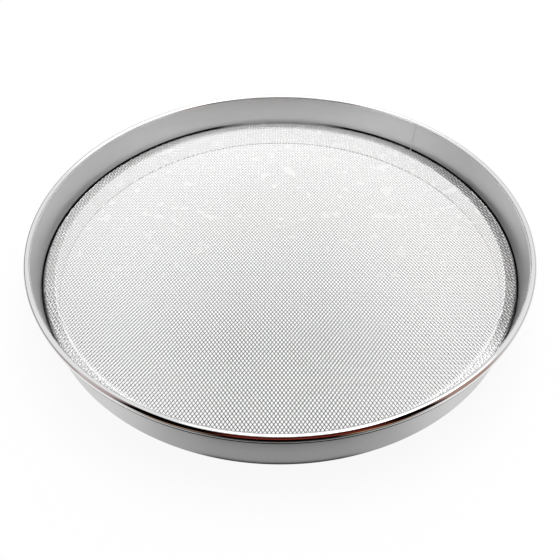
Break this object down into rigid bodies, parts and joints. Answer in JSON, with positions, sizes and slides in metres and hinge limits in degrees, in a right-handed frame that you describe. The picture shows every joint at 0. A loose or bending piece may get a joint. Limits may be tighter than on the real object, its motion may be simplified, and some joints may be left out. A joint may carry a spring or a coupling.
{
  "type": "tamis drum sieve",
  "caption": "Shallow round drum sieve of thin polished steel with a turned-out rim and a flat woven wire cloth held by a clamp ring.",
  "frame": {"origin": "centre of the foot, on the surface that the sieve stands on", "axes": "+Z is the drum's axis, from the foot up out of the open mouth"},
  "size_m": [0.3, 0.3, 0.036],
  "materials": {
    "hoop_steel": "satin wall with a polished rim",
    "ring_steel": "mill-finish sheet",
    "cloth_steel": "bright drawn wire, woven"
  },
  "bodies": {
    "root": {"outer_hoop": "hoop_steel", "clamp_ring": "ring_steel", "sieve_cloth": "cloth_steel"}
  },
  "joints": []
}
